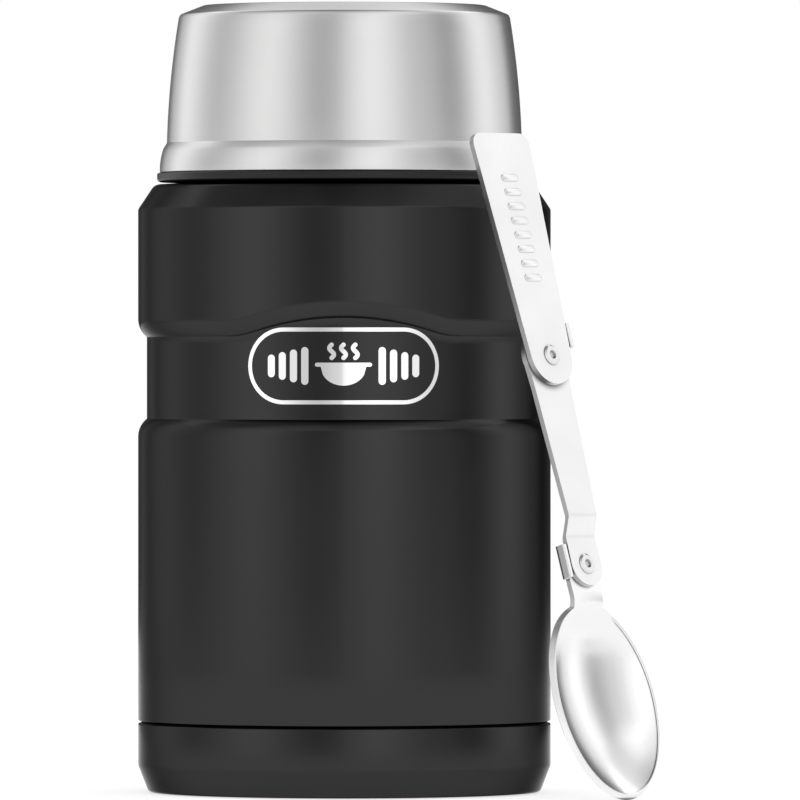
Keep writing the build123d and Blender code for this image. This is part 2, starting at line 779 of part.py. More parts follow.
# ---------------------------------------------------------------- labels and files
pieces = {
    "outer_shell": outer_shell,
    "inner_liner": inner_liner,
    "outer_bottom": outer_bottom,
    "vacuum_plug": vacuum_plug,
    "getter": getter,
    "getter_clip": getter_clip,
    "base_cup": base_cup,
    "stopper_body": stopper_body,
    "stopper_core": stopper_core,
    "stopper_base": stopper_base,
    "stopper_seal": stopper_seal,
    "lid_shell": lid_shell,
    "lid_bowl": lid_bowl,
    "lid_collar": lid_collar,
    "lid_core": lid_core,
    "spoon_handle": spoon_handle,
    "spoon_link": spoon_link,
    "spoon_bowl": spoon_bowl,
    "upper_rivet": upper_rivet,
    "lower_rivet": lower_rivet,
    "upper_washer": upper_washer,
    "lower_washer": lower_washer,
}
for name, piece in pieces.items():
    piece.part.label = name
    export_step(piece.part, f"parts/{name}.step")
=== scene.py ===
"""Looks of an insulated food jar: steel body, screw lid, stopper and a folding spoon beside it."""

from math import asin, atan2, cos, degrees, hypot, pi, radians, sin, sqrt, tan

import bmesh
import bpy
from mathutils import Matrix, Vector


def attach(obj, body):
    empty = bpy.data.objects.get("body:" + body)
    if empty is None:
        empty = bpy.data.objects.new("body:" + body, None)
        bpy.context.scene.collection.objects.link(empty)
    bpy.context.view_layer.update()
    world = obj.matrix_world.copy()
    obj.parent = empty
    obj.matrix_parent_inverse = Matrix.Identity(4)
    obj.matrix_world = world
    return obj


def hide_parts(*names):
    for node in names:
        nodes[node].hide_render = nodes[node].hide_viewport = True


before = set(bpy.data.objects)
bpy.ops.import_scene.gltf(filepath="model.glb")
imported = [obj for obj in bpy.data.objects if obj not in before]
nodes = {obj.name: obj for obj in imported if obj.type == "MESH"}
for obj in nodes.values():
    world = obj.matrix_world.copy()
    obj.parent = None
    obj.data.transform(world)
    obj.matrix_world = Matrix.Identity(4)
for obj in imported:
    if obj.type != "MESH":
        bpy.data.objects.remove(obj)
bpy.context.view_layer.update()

# ---------------------------------------------------------------- sizes, in millimetres
MM = 0.001
AROUND = 240                    # facets round a turned piece
SAME_PLACE = 1e-7               # metres between points that count as one

JAR_R = 49.5
WAIST_R = 47.4
WAIST_LOW, WAIST_HIGH = 89.5, 109.1
LIP_HEIGHT = 4.3
BROW_HALF, BROW_RISE = 24.0, 4.4
WALL_TOP = 139.7
SHOULDER_R, SHOULDER_Z = 45.5, 145.7
NECK_R, NECK_TOP = 38.6, 159.5
CUP_TOP = 16.5
TUCK_R = 48.65
SHELL_LOW = 7.0
SHELL_WALL = 0.6

LID_TOP = 188.6
LID_STEP = 155.6
LID_LOW = 148.5
COLLAR_R = 44.3
SIDE_R = 42.6
LID_WALL = 0.6
RIM_R = 44.95
RIM_LOW, RIM_HIGH = 146.2, 148.4
SLEEVE_R = 40.6
SLEEVE_TOP = 160.0

PRINT_GAP = 0.02                # how far the print stands off the paint


# ---------------------------------------------------------------- shapes in a half section
def arc(centre, radius, start, end, steps):
    """Points (r, z) on an arc, angles in degrees from the outward direction."""
    return [
        (
            centre[0] + radius * cos(radians(start + (end - start) * i / steps)),
            centre[1] + radius * sin(radians(start + (end - start) * i / steps)),
        )
        for i in range(steps + 1)
    ]


def through(a, b, c, steps):
    """Points on the arc from a through b to c."""
    ax, ay, bx, by, cx, cy = *a, *b, *c
    d = 2 * (ax * (by - cy) + bx * (cy - ay) + cx * (ay - by))
    ux = ((ax**2 + ay**2) * (by - cy) + (bx**2 + by**2) * (cy - ay) + (cx**2 + cy**2) * (ay - by)) / d
    uy = ((ax**2 + ay**2) * (cx - bx) + (bx**2 + by**2) * (ax - cx) + (cx**2 + cy**2) * (bx - ax)) / d
    start = atan2(ay - uy, ax - ux)
    end = atan2(cy - uy, cx - ux)
    mid = atan2(by - uy, bx - ux)
    while abs(end - start) > pi:
        end += 2 * pi if end < start else -2 * pi
    if not min(start, end) <= mid <= max(start, end):
        mid += 2 * pi if mid < min(start, end) else -2 * pi
    return arc((ux, uy), hypot(ax - ux, ay - uy), degrees(start), degrees(end), steps)


def softened(corners, steps=5):
    """Outline through (r, z, rounding) corners, with each corner rounded off."""
    outline = []
    count = len(corners)
    for i, (x, y, rounding) in enumerate(corners):
        if rounding <= 0 or i in (0, count - 1):
            outline.append((x, y))
            continue
        before, after = Vector(corners[i - 1][:2]), Vector(corners[i + 1][:2])
        here = Vector((x, y))
        into, out = (before - here).normalized(), (after - here).normalized()
        half = into.angle(out) / 2
        back = min(rounding / tan(half), (before - here).length * 0.49, (after - here).length * 0.49)
        radius = back * tan(half)
        centre = here + (into + out).normalized() * (radius / sin(half))
        first, last = here + into * back - centre, here + out * back - centre
        turn = first.angle_signed(last)
        for k in range(steps + 1):
            outline.append(tuple(centre + Matrix.Rotation(-turn * k / steps, 2) @ first))
    return outline


# ---------------------------------------------------------------- meshes
def piece(name, points, faces, body, material, stands_for=(), sharp=35, joined=False):
    """Mesh object from points in millimetres, riding on a body. joined merges points in one place."""
    mesh = bpy.data.meshes.new(name)
    mesh.from_pydata([(x * MM, y * MM, z * MM) for x, y, z in points], [], faces)
    mesh.update()
    form = bmesh.new()
    form.from_mesh(mesh)
    if joined:
        bmesh.ops.remove_doubles(form, verts=form.verts, dist=SAME_PLACE)
        bmesh.ops.dissolve_degenerate(form, edges=form.edges, dist=SAME_PLACE)
    bmesh.ops.recalc_face_normals(form, faces=form.faces)
    form.to_mesh(mesh)
    form.free()
    made = bpy.data.objects.new(name, mesh)
    bpy.context.scene.collection.objects.link(made)
    for face in mesh.polygons:
        face.use_smooth = True
    if sharp:
        mesh.set_sharp_from_angle(angle=radians(sharp))
    mesh.materials.append(material)
    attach(made, body)
    if stands_for:
        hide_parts(*stands_for)
    return made


def turned(name, outline, body, material, stands_for=(), sharp=35):
    """Piece turned about the jar's axis. outline(angle) gives (r, z) points, or is one list of them."""
    points, faces = [], []
    for i in range(AROUND):
        angle = 2 * pi * i / AROUND
        section = outline(angle) if callable(outline) else outline
        points += [(r * sin(angle), -r * cos(angle), z) for r, z in section]
    rows = len(points) // AROUND
    for i in range(AROUND):
        j = (i + 1) % AROUND
        for k in range(rows):
            m = (k + 1) % rows
            faces.append((i * rows + k, j * rows + k, j * rows + m, i * rows + m))
    piece(name, points, faces, body, material, stands_for, sharp, joined=True)


# ---------------------------------------------------------------- node helpers
def group_tree(name, inputs, outputs):
    """Empty node group with named sockets, and its input and output nodes."""
    tree = bpy.data.node_groups.new(name, "ShaderNodeTree")
    for label, kind, value in inputs:
        socket = tree.interface.new_socket(label, in_out="INPUT", socket_type=kind)
        if value is not None:
            socket.default_value = value
    for label, kind in outputs:
        tree.interface.new_socket(label, in_out="OUTPUT", socket_type=kind)
    return tree, tree.nodes.new("NodeGroupInput"), tree.nodes.new("NodeGroupOutput")


FLOAT, VECTOR = "NodeSocketFloat", "NodeSocketVector"


def maths(tree, operation, a, b=None, clamp=False):
    """Math node whose inputs are links or numbers. Returns its output."""
    node = tree.nodes.new("ShaderNodeMath")
    node.operation = operation
    node.use_clamp = clamp
    for i, value in enumerate((a, b)):
        if value is None:
            continue
        if isinstance(value, (int, float)):
            node.inputs[i].default_value = value
        else:
            tree.links.new(value, node.inputs[i])
    return node.outputs[0]


def noise(tree, vector, scale, detail=2.0, roughness=0.5):
    """Noise texture on a linked vector and scale. Returns its 0 to 1 output."""
    node = tree.nodes.new("ShaderNodeTexNoise")
    node.inputs["Detail"].default_value = detail
    node.inputs["Roughness"].default_value = roughness
    tree.links.new(scale, node.inputs["Scale"])
    tree.links.new(vector, node.inputs["Vector"])
    return node.outputs[0]


def spread(tree, value, low, high, to_low, to_high):
    """Map Range node that takes low to to_low and high to to_high. Returns its output."""
    node = tree.nodes.new("ShaderNodeMapRange")
    for label, number in (("From Min", low), ("From Max", high), ("To Min", to_low), ("To Max", to_high)):
        node.inputs[label].default_value = number
    tree.links.new(value, node.inputs["Value"])
    return node.outputs[0]


def make_brushing():
    """Fine lines and broader streaks, from noise on a stretched position."""
    tree, given, result = group_tree(
        "fine brushing",
        [("Along", VECTOR, None), ("Line Scale", FLOAT, 2500.0)],
        [("Lines", FLOAT), ("Streaks", FLOAT)],
    )
    along, scale = given.outputs["Along"], given.outputs["Line Scale"]
    fine = noise(tree, along, scale, 3.0, 0.6)
    broad = noise(tree, along, maths(tree, "MULTIPLY", scale, 0.12))
    tree.links.new(fine, result.inputs["Lines"])
    tree.links.new(broad, result.inputs["Streaks"])
    return tree


def make_grain():
    """Fine pebbled grain of paint and moulded plastic, with a slow unevenness."""
    tree, given, result = group_tree(
        "pebbled grain",
        [("Grain Scale", FLOAT, 2200.0), ("Uneven Scale", FLOAT, 60.0)],
        [("Grain", FLOAT), ("Unevenness", FLOAT)],
    )
    place = tree.nodes.new("ShaderNodeTexCoord").outputs["Object"]
    tree.links.new(noise(tree, place, given.outputs["Grain Scale"], 2.0, 0.55), result.inputs["Grain"])
    tree.links.new(noise(tree, place, given.outputs["Uneven Scale"], 3.0), result.inputs["Unevenness"])
    return tree


def make_round_place():
    """Position stretched round the jar's axis, so that noise on it draws turned lines."""
    tree, given, result = group_tree("round the axis", [("Stretch", FLOAT, 0.004)], [("Place", VECTOR)])
    stretch = given.outputs["Stretch"]
    parts = tree.nodes.new("ShaderNodeSeparateXYZ")
    tree.links.new(tree.nodes.new("ShaderNodeTexCoord").outputs["Object"], parts.inputs[0])
    x, y, z = parts.outputs
    squares = maths(tree, "ADD", maths(tree, "MULTIPLY", x, x), maths(tree, "MULTIPLY", y, y))
    reach = maths(tree, "SQRT", squares)
    made = tree.nodes.new("ShaderNodeCombineXYZ")
    tree.links.new(maths(tree, "MULTIPLY", x, stretch), made.inputs[0])
    tree.links.new(maths(tree, "ADD", maths(tree, "MULTIPLY", y, stretch), reach), made.inputs[1])
    tree.links.new(z, made.inputs[2])
    tree.links.new(made.outputs[0], result.inputs["Place"])
    return tree


def make_crevice_shade():
    """Painted shade: 1 on open faces, falling to 0 in the narrow gaps between pieces and wherever another
    surface comes within reach.
    """
    tree, given, result = group_tree("painted_crevice_shade", [("Reach", FLOAT, 0.002)], [("Unshaded", FLOAT)])
    near = tree.nodes.new("ShaderNodeAmbientOcclusion")
    near.samples = 8
    tree.links.new(given.outputs["Reach"], near.inputs["Distance"])
    tree.links.new(spread(tree, near.outputs["AO"], 0.5, 0.9, 0.0, 1.0), result.inputs["Unshaded"])
    return tree


BRUSHING = make_brushing()
GRAIN = make_grain()
ROUND_PLACE = make_round_place()
CREVICE_SHADE = make_crevice_shade()


def placed(tree, group, **values):
    """Group node in a material with its own values."""
    node = tree.nodes.new("ShaderNodeGroup")
    node.node_tree = group
    for label, value in values.items():
        node.inputs[label.replace("_", " ")].default_value = value
    return node


def new_material(name, colour, roughness, metallic=0.0, **sockets):
    """Material with a Principled BSDF. Returns the material, its tree and the shader."""
    material = bpy.data.materials.new(name)
    material.use_nodes = True
    tree = material.node_tree
    shader = tree.nodes["Principled BSDF"]
    shader.inputs["Base Color"].default_value = (*colour, 1)
    shader.inputs["Roughness"].default_value = roughness
    shader.inputs["Metallic"].default_value = metallic
    for label, value in sockets.items():
        shader.inputs[label.replace("_", " ")].default_value = value
    return material, tree, shader


def bumped(tree, shader, height, depth):
    """Bump of a depth in millimetres from a height, fed to the shader's normal."""
    bump = tree.nodes.new("ShaderNodeBump")
    bump.inputs["Strength"].default_value = 1.0
    bump.inputs["Distance"].default_value = depth * MM
    tree.links.new(height, bump.inputs["Height"])
    tree.links.new(bump.outputs[0], shader.inputs["Normal"])


def two_tones(tree, shader, low, high, mask):
    """Base colour that goes from low to high with a mask."""
    mix = tree.nodes.new("ShaderNodeMix")
    mix.data_type = "RGBA"
    mix.inputs["A"].default_value = (*low, 1)
    mix.inputs["B"].default_value = (*high, 1)
    tree.links.new(mask, mix.inputs["Factor"])
    tree.links.new(mix.outputs["Result"], shader.inputs["Base Color"])


def roughened(tree, shader, mask, low, high):
    """Roughness that follows a noise between two values."""
    tree.links.new(spread(tree, mask, 0.3, 0.7, low, high), shader.inputs["Roughness"])


def grained(name, colour, roughness, grain_scale, depth, shift=0.06, **sockets):
    """Paint or plastic with a pebbled grain."""
    material, tree, shader = new_material(name, colour, roughness, **sockets)
    grain = placed(tree, GRAIN, Grain_Scale=grain_scale)
    roughened(tree, shader, grain.outputs["Unevenness"], roughness - shift, roughness + shift)
    bumped(tree, shader, grain.outputs["Grain"], depth)
    return material


def turned_steel(name, colour, roughness, line_scale, depth, anisotropy, shade=0.06):
    """Steel brushed round the jar's axis. A depth of 0 leaves out the bump."""
    material, tree, shader = new_material(name, colour, roughness, 1.0)
    shader.inputs["Anisotropic"].default_value = anisotropy
    shader.inputs["Anisotropic Rotation"].default_value = 0.25
    tangent = tree.nodes.new("ShaderNodeTangent")
    tangent.direction_type = "RADIAL"
    tangent.axis = "Z"
    tree.links.new(tangent.outputs[0], shader.inputs["Tangent"])
    place = placed(tree, ROUND_PLACE, Stretch=0.002)
    lines = placed(tree, BRUSHING, Line_Scale=line_scale)
    tree.links.new(place.outputs["Place"], lines.inputs["Along"])
    darker = [c * (1 - shade) for c in colour]
    lighter = [c * (1 + shade) for c in colour]
    two_tones(tree, shader, darker, lighter, lines.outputs["Lines"])
    roughened(tree, shader, lines.outputs["Streaks"], roughness * 0.96, roughness * 1.04)
    if depth:
        bumped(tree, shader, lines.outputs["Lines"], depth)
    return material


def spoon_steel(name, colour, roughness, depth, reach=0.0022):
    """Spoon steel: softly polished, with painted shade that darkens it where two pieces lie within reach of
    each other.
    """
    material, tree, shader = new_material(name, colour, roughness, 1.0)
    grain = placed(tree, GRAIN, Grain_Scale=1600.0, Uneven_Scale=90.0)
    roughened(tree, shader, grain.outputs["Unevenness"], roughness * 0.9, roughness * 1.1)
    painted_crevice_shade = placed(tree, CREVICE_SHADE, Reach=reach)
    # painted shade: the colour falls to 0.12 of itself in the gaps, standing in for their shadow
    two_tones(tree, shader, [c * 0.12 for c in colour], colour, painted_crevice_shade.outputs["Unshaded"])
    bumped(tree, shader, grain.outputs["Grain"], depth)
    return material


powder_coat = grained(
    "powder coat",
    (0.038, 0.038, 0.0385),
    roughness=0.16,
    grain_scale=2600.0,
    depth=0.001,
    shift=0.02,
    Metallic=1.0,
    Specular_Tint=(0.45, 0.45, 0.45, 1),
)
rim_plastic = grained(
    "rim plastic",
    (0.004, 0.004, 0.0042),
    roughness=0.4,
    grain_scale=1800.0,
    depth=0.004,
    shift=0.03,
    Specular_IOR_Level=0.35,
)
stopper_plastic = grained(
    "stopper plastic", (0.02, 0.02, 0.022), roughness=0.5, grain_scale=1500.0, depth=0.01
)
silicone = grained("seal silicone", (0.5, 0.5, 0.48), roughness=0.55, grain_scale=1200.0, depth=0.01)
insulation = grained("rigid foam", (0.8, 0.77, 0.66), roughness=0.9, grain_scale=900.0, depth=0.08)
solder_glass = grained("solder glass", (0.12, 0.15, 0.12), roughness=0.12, grain_scale=600.0, depth=0.02)
getter_metal = grained(
    "getter metal", (0.25, 0.25, 0.26), roughness=0.7, grain_scale=1800.0, depth=0.02, Metallic=0.8
)
silver_print = grained(
    "silver print",
    (0.95, 0.95, 0.95),
    roughness=0.05,
    grain_scale=1500.0,
    depth=0.0002,
    shift=0.01,
    Metallic=1.0,
)
lid_steel = turned_steel(
    "brushed lid steel",
    (0.63, 0.63, 0.628),
    roughness=0.28,
    line_scale=1500.0,
    depth=0.0,
    anisotropy=0.6,
    shade=0.016,
)
bare_steel = turned_steel(
    "bare steel", (0.6, 0.6, 0.595), roughness=0.26, line_scale=2400.0, depth=0.003, anisotropy=0.4
)
# The spoon and rivet steels below carry painted shade in the gaps between pieces.
satin_spoon = spoon_steel("satin spoon steel", (0.82, 0.82, 0.818), roughness=0.3, depth=0.0003)
polished_spoon = spoon_steel(
    "soft polished spoon steel", (0.84, 0.84, 0.838), roughness=0.25, depth=0.0002, reach=0.001
)
# Cut edges are the same steel as the faces; their darker colour is painted shade for the grey the thin edges
# take on under the light.
shaded_cut_edge = spoon_steel("spoon's cut edge, painted shade", (0.52, 0.52, 0.518), roughness=0.34, depth=0.0004, reach=0.001)
rivet_steel = spoon_steel("rivet steel", (0.7, 0.7, 0.698), roughness=0.2, depth=0.0004)


# ---------------------------------------------------------------- jar body
LIP_R = (LIP_HEIGHT**2 + (JAR_R - WAIST_R) ** 2) / (2 * (JAR_R - WAIST_R))
LIP_TURN = degrees(asin(LIP_HEIGHT / LIP_R))
ARCH_R = (BROW_HALF**2 + BROW_RISE**2) / (2 * BROW_RISE)
BROW_BLEND = 1.0
BROW_FADE = 12                  # past the arch's ends, where the edge is straight again
CREASE = 0.12


def brow_edge(angle):
    """Height of the waist's upper crisp edge at an angle from the front."""
    across = abs(WAIST_R * sin(angle))
    if cos(angle) <= 0 or across > BROW_HALF + BROW_FADE:
        return WAIST_HIGH
    inside = min(across, BROW_HALF)
    arch = sqrt(ARCH_R**2 - inside**2) - (ARCH_R - BROW_RISE)
    if across > BROW_HALF:
        arch = -(across - BROW_HALF) * BROW_HALF / sqrt(ARCH_R**2 - BROW_HALF**2)
    near = max(BROW_BLEND - abs(arch), 0) / BROW_BLEND
    return WAIST_HIGH + max(arch, 0) + near * near * BROW_BLEND / 4


def shell_section(angle):
    """Closed half section of the shell, outside and inside."""
    edge = brow_edge(angle)
    lip_c = JAR_R - LIP_R
    lip_top = edge + LIP_HEIGHT
    upper_wall = WALL_TOP - 1.5 - lip_top
    outer = [(TUCK_R, SHELL_LOW), (TUCK_R, CUP_TOP - 0.1)]
    outer += arc((TUCK_R + 0.45, CUP_TOP + 0.1), 0.45, 180, 100, 3)[1:]
    outer += arc((JAR_R - 0.4, CUP_TOP + 0.95), 0.4, -60, 0, 4)
    outer += [(JAR_R, z) for z in (30, 45, 60, 75)]
    outer += arc((lip_c, WAIST_LOW - LIP_HEIGHT), LIP_R, 0, LIP_TURN - 1.0, 12)
    outer += [(WAIST_R + CREASE * 0.35, WAIST_LOW - CREASE * 0.2), (WAIST_R, WAIST_LOW + CREASE)]
    outer += [(WAIST_R, WAIST_LOW + (edge - WAIST_LOW) * t) for t in (0.1, 0.35, 0.65, 0.9)]
    outer += [(WAIST_R, edge - CREASE), (WAIST_R + CREASE * 0.35, edge + CREASE * 0.2)]
    outer += arc((lip_c, lip_top), LIP_R, -LIP_TURN + 1.0, 0, 12)
    outer += [(JAR_R, lip_top + upper_wall * t) for t in (0.08, 0.3, 0.6, 0.9)]
    outer += softened(
        [
            (JAR_R, WALL_TOP - 1.4, 0),
            (JAR_R, WALL_TOP, 1.4),
            (SHOULDER_R, SHOULDER_Z, 2.4),
            (NECK_R, SHOULDER_Z, 1.0),
            (NECK_R, NECK_TOP, 0),
        ],
        7,
    )
    inner = [
        (NECK_R - SHELL_WALL, NECK_TOP),
        (NECK_R - SHELL_WALL, SHOULDER_Z - SHELL_WALL),
        (SHOULDER_R - SHELL_WALL, SHOULDER_Z - SHELL_WALL),
        (JAR_R - SHELL_WALL, WALL_TOP),
        (JAR_R - SHELL_WALL, lip_top),
        (WAIST_R - SHELL_WALL, edge),
        (WAIST_R - SHELL_WALL, WAIST_LOW),
        (JAR_R - SHELL_WALL, WAIST_LOW - LIP_HEIGHT),
        (JAR_R - SHELL_WALL, CUP_TOP + 0.6),
        (TUCK_R - SHELL_WALL, CUP_TOP),
        (TUCK_R - SHELL_WALL, SHELL_LOW),
    ]
    return outer + inner


turned("jar_shell", shell_section, "jar", powder_coat, ["outer_shell"], sharp=0)

cup_outer = softened(
    [
        (0.01, 0.0, 0),
        (31.0, 0.0, 0.15),
        (31.4, 0.4, 0.15),
        (33.6, 0.4, 0.15),
        (34.0, 0.0, 0.15),
        (47.0, 0.0, 1.2),
        (49.5, 6.4, 2.4),
        (49.5, CUP_TOP, 0.35),
        (48.7, CUP_TOP, 0),
    ],
    6,
)
cup_inner = [(48.7, 7.0), (46.4, 0.9), (0.01, 0.9)]
turned("base_band", cup_outer + cup_inner, "jar", powder_coat, ["base_cup"], sharp=40)

# ---------------------------------------------------------------- lid
lid_side = through((39.767, 185.52), (41.65, 171.0), (SIDE_R, LID_STEP), 14)
lid_outer = softened(
    [
        (0.01, LID_TOP, 0),
        (33.8, LID_TOP, 1.6),
        (39.4, 186.4, 1.0),
        (39.767, 185.52, 0),
    ],
    6,
)
lid_outer += lid_side[1:-1]
lid_outer += [(SIDE_R, LID_STEP)]
lid_outer += through((43.45, 154.24), (44.0875, 151.69), (COLLAR_R, 149.7), 8)
lid_outer += softened(
    [
        (COLLAR_R, 149.0, 0),
        (COLLAR_R, LID_LOW, 0.25),
        (COLLAR_R - LID_WALL, LID_LOW, 0.25),
    ],
    7,
)
lid_inner = [(COLLAR_R - LID_WALL, 149.7), (42.85, 153.9), (SIDE_R - LID_WALL, LID_STEP)]
lid_inner += [(r - LID_WALL, z) for r, z in reversed(lid_side[1:-1])]
lid_inner += [(38.9, 185.5), (33.7, LID_TOP - LID_WALL), (0.01, LID_TOP - LID_WALL)]
turned("lid_skin", lid_outer + lid_inner, "lid", lid_steel, ["lid_shell"], sharp=22)

rim_outline = softened(
    [
        (SLEEVE_R, 150.0, 0),
        (SLEEVE_R, RIM_LOW, 0.3),
        (RIM_R, RIM_LOW, 0.9),
        (RIM_R, RIM_HIGH, 0.35),
        (COLLAR_R - LID_WALL - 0.2, RIM_HIGH, 0.1),
        (COLLAR_R - LID_WALL - 0.2, 150.8, 0.1),
        (41.6, 155.3, 0.1),
        (41.6, SLEEVE_TOP, 0.1),
        (SLEEVE_R, SLEEVE_TOP, 0.1),
        (SLEEVE_R, 152.0, 0),
    ],
    6,
)
turned("lid_rim", rim_outline, "lid", rim_plastic, ["lid_collar"])


# ---------------------------------------------------------------- screw threads
THREAD_STEPS = 72               # a turn
THREAD_FADE = 9                 # steps over which a thread runs out
THREAD_BURIED = 0.12
THREAD_FOOT, THREAD_CREST = 0.62, 0.28
LID_PITCH, STOPPER_PITCH = 3.6, 3.2
MOUTH_R, PLUG_R = 36.5, 35.9


def thread(name, wall, crest, start, pitch, turns, body, material):
    """Ridge that climbs a wall of radius wall as a right-handed screw. It runs out at both ends."""
    steps = int(turns * THREAD_STEPS)
    points, faces = [], []
    root = wall - THREAD_BURIED if wall < crest else wall + THREAD_BURIED
    for i in range(steps + 1):
        turn = 2 * pi * turns * i / steps
        fade = min(1.0, min(i, steps - i) / THREAD_FADE)
        height = start + pitch * turn / (2 * pi)
        reach = wall + (crest - wall) * fade
        tall = 0.35 + 0.65 * fade
        ridge = (
            (root, -THREAD_FOOT),
            (reach, -THREAD_CREST),
            (reach, THREAD_CREST),
            (root, THREAD_FOOT),
        )
        for r, z in ridge:
            points.append((r * cos(turn), r * sin(turn), height + z * tall))
    for i in range(steps):
        for k in range(4):
            m = (k + 1) % 4
            faces.append((4 * i + k, 4 * i + m, 4 * i + 4 + m, 4 * i + 4 + k))
    faces.append((0, 1, 2, 3))
    faces.append((4 * steps, 4 * steps + 3, 4 * steps + 2, 4 * steps + 1))
    piece(name, points, faces, body, material, sharp=25)


thread("neck_thread", NECK_R, 39.8, 150.0, LID_PITCH, 1.9, "jar", powder_coat)
thread("sleeve_thread", SLEEVE_R, 39.4, 151.8, LID_PITCH, 1.5, "lid", rim_plastic)
thread("mouth_thread", MOUTH_R, 36.12, 146.4, STOPPER_PITCH, 1.7, "jar", bare_steel)
thread("plug_thread", PLUG_R, 36.3, 144.8, STOPPER_PITCH, 2.2, "stopper", stopper_plastic)


# ---------------------------------------------------------------- print on the waist
def on_waist(x, z):
    """Point of the print. x runs round the waist from its front, z is the height."""
    angle = x / WAIST_R
    reach = WAIST_R + PRINT_GAP
    return (reach * sin(angle), -reach * cos(angle), z)


def rounded_row(end, radius, turn):
    """Row of a line's round end, so many degrees on from the end's full width."""
    here, along, half = end
    return here + along * radius * sin(radians(turn)), along, half * cos(radians(turn))


def stroke(path, width, closed=False):
    """Points and faces of a line of even width along (x, z) points. Open ends are rounded."""
    half = width / 2
    count = len(path)
    rows = []
    for i, here in enumerate(path):
        before = Vector(path[i - 1 if closed or i else 0])
        after = Vector(path[(i + 1) % count if closed or i < count - 1 else i])
        rows.append((Vector(here), (after - before).normalized(), half))
    if not closed:
        head, tail = rows[0], rows[-1]
        cap = [rounded_row(head, -half, turn) for turn in (80, 60, 40, 20)]
        toe = [rounded_row(tail, half, turn) for turn in (20, 40, 60, 80)]
        rows = cap + rows + toe
    points = []
    for here, along, reach in rows:
        aside = Vector((-along.y, along.x)) * reach
        points += [on_waist(*(here + aside)), on_waist(*(here - aside))]
    last = len(rows) if closed else len(rows) - 1
    faces = []
    for i in range(last):
        a, b = 2 * i, 2 * ((i + 1) % len(rows))
        faces.append((a, a + 1, b + 1, b))
    return points, faces


def filled(stations):
    """Points and faces between a low and a high edge, given as (x, low, high)."""
    points = [on_waist(x, z) for x, low, high in stations for z in (low, high)]
    faces = [(2 * i, 2 * i + 2, 2 * i + 3, 2 * i + 1) for i in range(len(stations) - 1)]
    return points, faces


def printed(name, parts):
    """One piece of print from the points and faces of its parts, facing outwards."""
    points, faces = [], []
    for own_points, own_faces in parts:
        shift = len(points)
        points += own_points
        faces += [tuple(k + shift for k in face) for face in own_faces]
    made = piece(name, points, faces, "jar", silver_print, sharp=0)
    form = bmesh.new()
    form.from_mesh(made.data)
    for face in form.faces:
        middle = face.calc_center_median()
        if face.normal.x * middle.x + face.normal.y * middle.y < 0:
            face.normal_flip()
    form.to_mesh(made.data)
    form.free()


def straight(x0, z0, x1, z1):
    """Points a short way apart on a straight line."""
    count = max(2, int(hypot(x1 - x0, z1 - z0) / 0.8) + 1)
    return [(x0 + (x1 - x0) * i / (count - 1), z0 + (z1 - z0) * i / (count - 1)) for i in range(count)]


BADGE_Z = 102.2
FRAME_HALF, FRAME_ROUND = 23.0, 8.6
FRAME_LINE, BOWL_LINE, STEAM_LINE, BAR_LINE = 0.95, 0.95, 1.05, 1.75
BOWL_R, BOWL_RIM_HALF = 5.4, 6.3
BOWL_Z = BADGE_Z + 0.3
STEAM_LOW, STEAM_HEIGHT, STEAM_SWAY = 1.6, 3.1, 0.55
BAR_FIRST, BAR_STEP = 9.2, 2.75
BAR_HALVES = (3.6, 3.0, 2.4, 1.8)


def pill_frame():
    """Frame with round ends."""
    end = FRAME_HALF - FRAME_ROUND
    line = straight(end, BADGE_Z - FRAME_ROUND, -end, BADGE_Z - FRAME_ROUND)
    line += arc((-end, BADGE_Z), FRAME_ROUND, 270, 90, 30)[1:-1]
    line += straight(-end, BADGE_Z + FRAME_ROUND, end, BADGE_Z + FRAME_ROUND)
    line += arc((end, BADGE_Z), FRAME_ROUND, 90, -90, 30)[1:-1]
    return [stroke(line, FRAME_LINE, closed=True)]


def steaming_bowl():
    """Small bowl with three curls of steam over it."""
    top = BOWL_Z - 0.45
    stations = []
    for step in range(-10, 11):
        across = step / 10
        stations.append((-across * BOWL_R, top - (BOWL_R - 0.9) * sqrt(1 - across**2), top))
    parts = [filled(stations)]
    parts.append(stroke(straight(-BOWL_RIM_HALF, BOWL_Z, BOWL_RIM_HALF, BOWL_Z), BOWL_LINE))
    for x in (-2.8, 0.0, 2.8):
        curl = []
        for i in range(17):
            sway = STEAM_SWAY * sin(2 * pi * i / 16)
            curl.append((x + sway, BOWL_Z + STEAM_LOW + STEAM_HEIGHT * i / 16))
        parts.append(stroke(curl, STEAM_LINE))
    return parts


def upright_bars():
    """Rounded upright bars on both sides, shorter towards the frame's ends."""
    parts = []
    for side in (-1, 1):
        for step, half in enumerate(BAR_HALVES):
            x = side * (BAR_FIRST + BAR_STEP * step)
            parts.append(stroke(straight(x, BADGE_Z - half, x, BADGE_Z + half), BAR_LINE))
    return parts


printed("waist_print", pill_frame() + steaming_bowl() + upright_bars())


# ---------------------------------------------------------------- raised bars on the spoon's handle
# The spoon stands close to the paint without a mirror image in it: its pieces aren't visible to glossy rays.
SPOON_TURN, SPOON_LEAN = radians(47.5), radians(17.5)
FACE_OUT = Vector((sin(SPOON_TURN) * cos(SPOON_LEAN), -cos(SPOON_TURN) * cos(SPOON_LEAN), sin(SPOON_LEAN)))
FACE_UP = Vector((-sin(SPOON_TURN) * sin(SPOON_LEAN), cos(SPOON_TURN) * sin(SPOON_LEAN), cos(SPOON_LEAN)))
FACE_RIGHT = Vector((cos(SPOON_TURN), sin(SPOON_TURN), 0))
UPPER_RIVET = Vector((49.141, -38.654, 104.782))    # on the handle's face


def on_face(right, up, out):
    """Point measured from the upper rivet along the spoon's own directions."""
    return tuple(UPPER_RIVET + FACE_RIGHT * right + FACE_UP * up + FACE_OUT * out)


